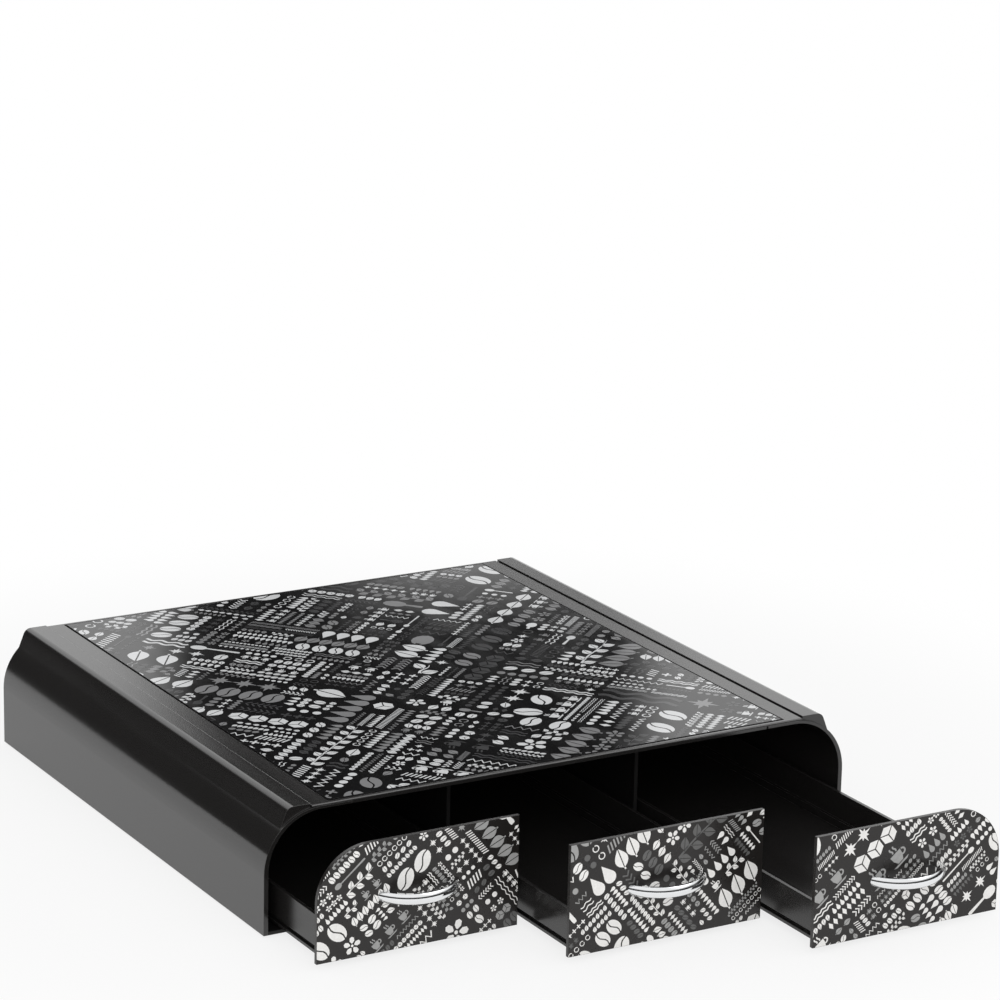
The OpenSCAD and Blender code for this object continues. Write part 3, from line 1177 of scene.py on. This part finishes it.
@dataclass
class PrintedTop:
    """The sheet in the deck's recess and the motifs printed on it."""

    body: str = "housing"
    node: str = "print_sheet"
    margin: float = 0.3
    seed: int = 11
    scale: float = 1.35
    ink_shares: tuple[float, ...] = (0.58, 0.22, 0.2)

    def build(self, nodes: dict[str, bpy.types.Object]) -> None:
        """Dresses the sheet and prints it.

        Args:
            nodes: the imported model's objects by name.
        """
        dress(nodes[self.node], SHEET_FILM)
        low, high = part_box(self.node)
        middle = centre_of(low, high) / MM
        half_x, half_y = (high.x - low.x) / MM / 2 - self.margin, (high.y - low.y) / MM / 2 - self.margin
        edge = [(-half_x, -half_y), (half_x, -half_y), (half_x, half_y), (-half_x, half_y)]

        def place(u: float, v: float, lift: float) -> Place:
            """Lays a point of the field on the sheet."""
            return (middle.x + u) * MM, (middle.y + v) * MM, high.z + lift * MM

        # These inks carry painted shade: darker and bluer than the fronts'.
        motifs = MotifPrint(edge, self.seed, SHEET_INKS_IN_PAINTED_SHADE, scale=self.scale, ink_shares=self.ink_shares)
        piece = motifs.build("sheet_motifs", place)
        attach(piece, self.body)
        LOG.info("sheet printed with %d faces", len(piece.data.polygons))


@dataclass
class Drawer:
    """One drawer: tray, printed front plate, chrome handle and its screws."""

    side: Side
    seed: int
    corner_r: float = 27.8
    corner_steps: int = 14
    margin: float = 0.1
    screw_pitch: float = 34.0

    def edge(self, half_x: float, half_z: float) -> Outline:
        """The front plate's outline about its middle, anticlockwise.

        Args:
            half_x: half its width.
            half_z: half its height.

        Returns:
            The outline, with the outer plates' rounded corner.
        """
        lower = [(-half_x, -half_z), (half_x, -half_z)]
        right, left = [(half_x, half_z)], [(-half_x, half_z)]
        r = self.corner_r
        if self.side is Side.RIGHT:
            right = arc(r, r, 0, 90, self.corner_steps, (half_x - r, half_z - r))
        if self.side is Side.LEFT:
            left = arc(r, r, 90, 180, self.corner_steps, (r - half_x, half_z - r))
        return [*lower, *right, *left]

    def build(self, nodes: dict[str, bpy.types.Object]) -> None:
        """Dresses the drawer's nodes and prints its front plate.

        Args:
            nodes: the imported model's objects by name.
        """
        name = self.side.prefix
        for part, finish in DRAWER_FINISHES.items():
            dress(nodes[f"{name}_{part}"], finish)
        low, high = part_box(f"{name}_handle_screws")
        middle = centre_of(low, high) / MM
        heads = [(middle.x + side * self.screw_pitch / 2, high.y / MM, middle.z) for side in (-1, 1)]
        CrossHeadScrews(f"{name}_cross_screws", f"{name}_handle_screws", self.side.value, Facing.BACK, heads,
                        (high.y - low.y) / MM, sunk=False).build()
        low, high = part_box(f"{name}_front_plate")
        middle = centre_of(low, high) / MM
        half_x, half_z = (high.x - low.x) / MM / 2 - self.margin, (high.z - low.z) / MM / 2 - self.margin

        def place(u: float, v: float, lift: float) -> Place:
            """Lays a point of the field on the front plate."""
            return (middle.x + u) * MM, low.y - lift * MM, (middle.z + v) * MM

        motifs = MotifPrint(self.edge(half_x, half_z), self.seed, FRONT_INKS)
        piece = motifs.build(f"{name}_front_motifs", place)
        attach(piece, self.side.value)
        LOG.info("%s drawer printed with %d faces", name, len(piece.data.polygons))


# ---- Studio ----


@dataclass
class Viewpoint:
    """The camera: where it stands and which way it looks."""

    position: Place = (-955.98, -1714.78, 713.73)
    yaw: float = 30.44
    pitch: float = 15.73
    roll: float = 1.21
    lens: float = 138.07

    def build(self) -> None:
        """Makes the camera and sets it as the scene's."""
        yaw, pitch, roll = (math.radians(a) for a in (self.yaw, self.pitch, self.roll))
        ahead = Vector((math.sin(yaw) * math.cos(pitch), math.cos(yaw) * math.cos(pitch), -math.sin(pitch)))
        level = Vector((math.cos(yaw), -math.sin(yaw), 0.0))
        upright = level.cross(ahead)
        right = level * math.cos(roll) + upright * math.sin(roll)
        up = upright * math.cos(roll) - level * math.sin(roll)
        turn = Matrix((right, up, -ahead)).transposed().to_4x4()
        data = bpy.data.cameras.new("camera")
        data.lens = self.lens
        camera = bpy.data.objects.new("camera", data)
        camera.matrix_world = Matrix.Translation(Vector(self.position) * MM) @ turn
        bpy.context.scene.collection.objects.link(camera)
        bpy.context.scene.camera = camera


@dataclass(frozen=True)
class SoftPanel:
    """A bright area of the studio, seen only as a reflection. Its angles are in degrees."""

    azimuth: Span
    elevation: Span
    fade_azimuth: float
    fade_elevation: float
    level: float

    def write(self, pen: NodePen, azimuth: Socket, elevation: Socket) -> Socket:
        """Writes how bright the panel is in a direction.

        Args:
            pen: the world's pen.
            azimuth: the direction's azimuth, from +Y towards +X, in degrees.
            elevation: the direction's elevation, in degrees.

        Returns:
            The brightness.
        """
        share: Socket | float = self.level
        spans = ((azimuth, self.azimuth, self.fade_azimuth), (elevation, self.elevation, self.fade_elevation))
        for value, (low, high), fade in spans:
            rise = pen.ramp(value, low - fade, low + fade, 0, 1)
            fall = pen.ramp(value, high - fade, high + fade, 1, 0)
            share = pen.math("MULTIPLY", share, pen.math("MULTIPLY", rise, fall))
        return share


@dataclass
class Studio:
    """A pale floor, soft light from all round and one large lamp in front."""

    floor_size: float = 9000.0
    floor_level: float = 0.92
    floor_glow: Span = (0.8, 1.0)
    glow_reach: Span = (0.28, 0.5)
    sky: float = 0.75
    reflected: float = 0.03
    lamp_power: float = 24.0
    lamp_size: float = 2200.0
    lamp_place: Place = (-900.0, -2400.0, 1200.0)
    panels: tuple[SoftPanel, ...] = (
        SoftPanel((-10, 25.3), (-12, 95), 0.5, 2, 1.3),
        SoftPanel((28.2, 32.8), (-12, 17.0), 1.2, 0.5, 1.3),
        SoftPanel((25.3, 32.8), (58, 95), 0.5, 6, 1.3),
        SoftPanel((32.8, 75), (-12, 95), 0.5, 2, 1.3),
        SoftPanel((-60, -10), (27, 95), 0.5, 3, 1.1),
        SoftPanel((75, 190), (24, 95), 12, 6, 0.95),
        SoftPanel((-190, -60), (24, 95), 12, 6, 0.95),
        SoftPanel((95, 145), (42, 72), 8, 6, 2.2),
    )

    def build(self) -> None:
        """Makes the floor, the world and the lamp."""
        self.floor()
        self.world()
        data = bpy.data.lights.new("lamp", "AREA")
        data.size = self.lamp_size * MM
        data.energy = self.lamp_power
        lamp = bpy.data.objects.new("lamp", data)
        lamp.location = Vector(self.lamp_place) * MM
        lamp.rotation_euler = (-lamp.location).to_track_quat("-Z", "Y").to_euler()
        lamp.visible_glossy = False
        bpy.context.scene.collection.objects.link(lamp)
        bpy.context.scene.view_settings.view_transform = "Standard"

    def floor(self) -> None:
        """Makes the floor."""
        half = self.floor_size / 2 * MM
        maker = MeshMaker()
        maker.face(maker.ring([(-half, -half, 0), (half, -half, 0), (half, half, 0), (-half, half, 0)]))
        floor = maker.make("floor")
        material = bpy.data.materials.new("studio_floor")
        material.use_nodes = True
        pen = NodePen(material.node_tree)
        matte = pen.add("BsdfDiffuse", {"Color": grey(self.floor_level)})
        glow = pen.add("Emission", {"Color": grey(1.0), "Strength": 1.0})
        away = pen.add("VectorMath", {0: pen.add("NewGeometry").outputs["Position"]}, operation="LENGTH")
        share = pen.ramp(away.outputs["Value"], *self.glow_reach, *self.floor_glow)
        rays = pen.add("LightPath").outputs
        seen = pen.math("MAXIMUM", rays["Is Camera Ray"],
                        pen.math("MAXIMUM", rays["Is Glossy Ray"], rays["Is Transmission Ray"]))
        surface = pen.add("MixShader", {0: pen.math("MULTIPLY", seen, share), 1: matte.outputs[0],
                                        2: glow.outputs[0]})
        pen.add("OutputMaterial", {"Surface": surface.outputs[0]})
        floor.data.materials.append(material)

    def world(self) -> None:
        """Makes the world: white to the camera, even light, and panels in reflections."""
        world = bpy.data.worlds.new("studio")
        world.use_nodes = True
        bpy.context.scene.world = world
        pen = NodePen(world.node_tree)
        direction = pen.add("TexCoord").outputs["Generated"]
        parts = pen.add("SeparateXYZ", {0: direction}).outputs
        azimuth = pen.math("DEGREES", pen.math("ARCTAN2", parts["X"], parts["Y"]))
        elevation = pen.math("DEGREES", pen.math("ARCSINE", parts["Z"]))
        mirror = self.reflected
        for panel in self.panels:
            mirror = pen.math("ADD", mirror, panel.write(pen, azimuth, elevation))
        rays = pen.add("LightPath").outputs
        seen = pen.math("MAXIMUM", rays["Is Glossy Ray"], rays["Is Transmission Ray"])
        level = pen.blend(seen, grey(self.sky), mirror)
        level = pen.blend(rays["Is Camera Ray"], level, grey(1.0))
        light = pen.add("Background", {"Color": level, "Strength": 1.0})
        pen.add("OutputWorld", {"Surface": light.outputs[0]})


def main() -> None:
    """Builds the camera, the object's sub-assemblies and the studio."""
    logging.basicConfig(level=logging.INFO, format="%(name)s: %(message)s")
    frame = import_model()
    nodes = frame["nodes"]
    Viewpoint().build()
    Housing().build(nodes)
    PrintedTop().build(nodes)
    for seed, side in enumerate(Side, start=FIRST_SEED):
        Drawer(side, seed).build(nodes)
    Studio().build()


if __name__ == "__main__":
    main()
